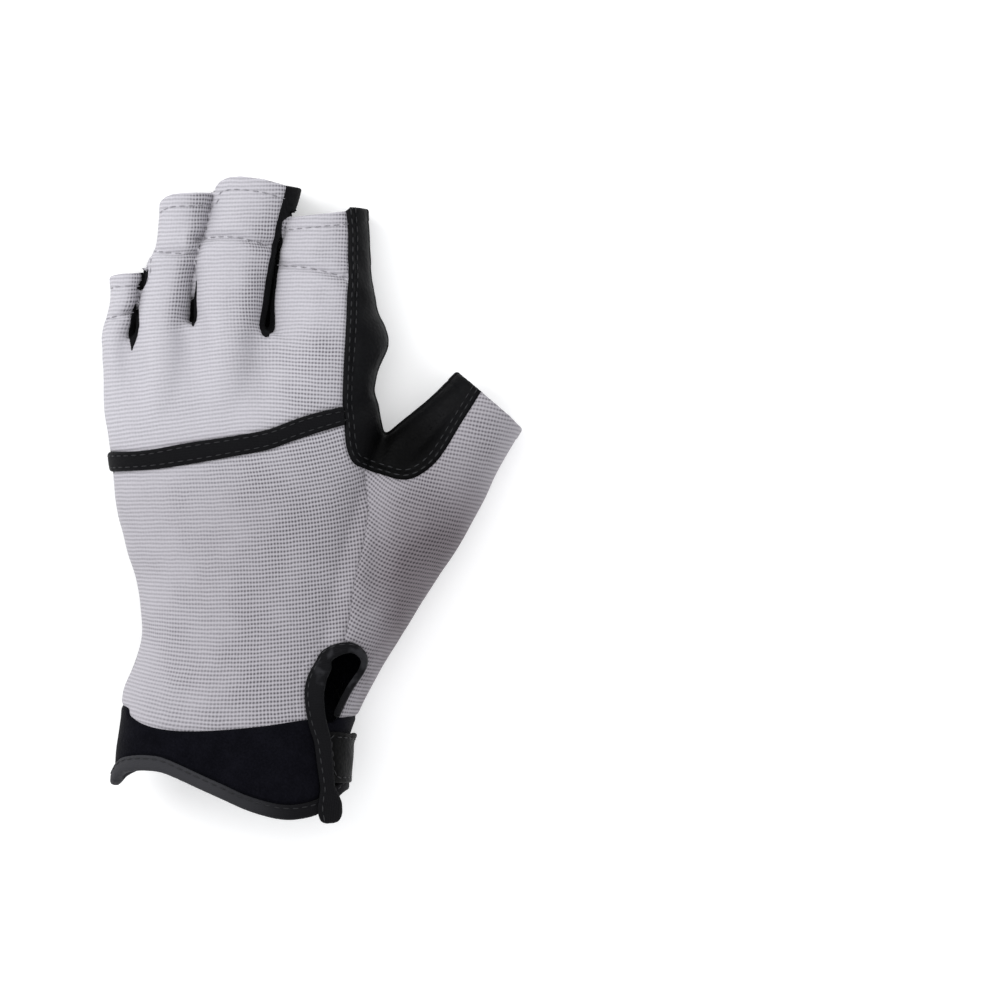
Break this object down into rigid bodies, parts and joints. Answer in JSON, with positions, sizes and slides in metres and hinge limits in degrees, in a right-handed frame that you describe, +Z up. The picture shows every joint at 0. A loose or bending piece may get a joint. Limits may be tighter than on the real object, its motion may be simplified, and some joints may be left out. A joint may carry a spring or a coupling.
{
  "type": "trekking glove",
  "caption": "Fingerless left-hand trekking glove with a knit back, leather palm and a cuff closed by a wrist tab, lying palm down.",
  "frame": {"origin": "middle of the glove's outline, on the surface it lies on", "axes": "+X towards the thumb's mouth, +Y towards the fingers, +Z up through the back of the hand"},
  "size_m": [0.132, 0.204, 0.0436],
  "materials": {
    "knit": "matt ribbed knit",
    "leather": "soft grained leather",
    "cuff_cloth": "matt pile cloth",
    "tape": "matt woven tape"
  },
  "bodies": {
    "root": {"knuckle_panel": "knit", "knuckle_welt": "tape", "lower_back_panel": "knit", "thumb_panel": "knit", "index_strip": "leather", "palm_panel": "leather", "finger_palm_panel": "leather", "thenar_patch": "leather", "fourchette_little_ring": "tape", "fourchette_ring_middle": "tape", "fourchette_middle_index": "tape", "cuff_back": "cuff_cloth", "cuff_palm": "cuff_cloth", "cuff_binding": "tape", "slit_binding": "tape", "wrist_tab": "leather"}
  },
  "joints": []
}
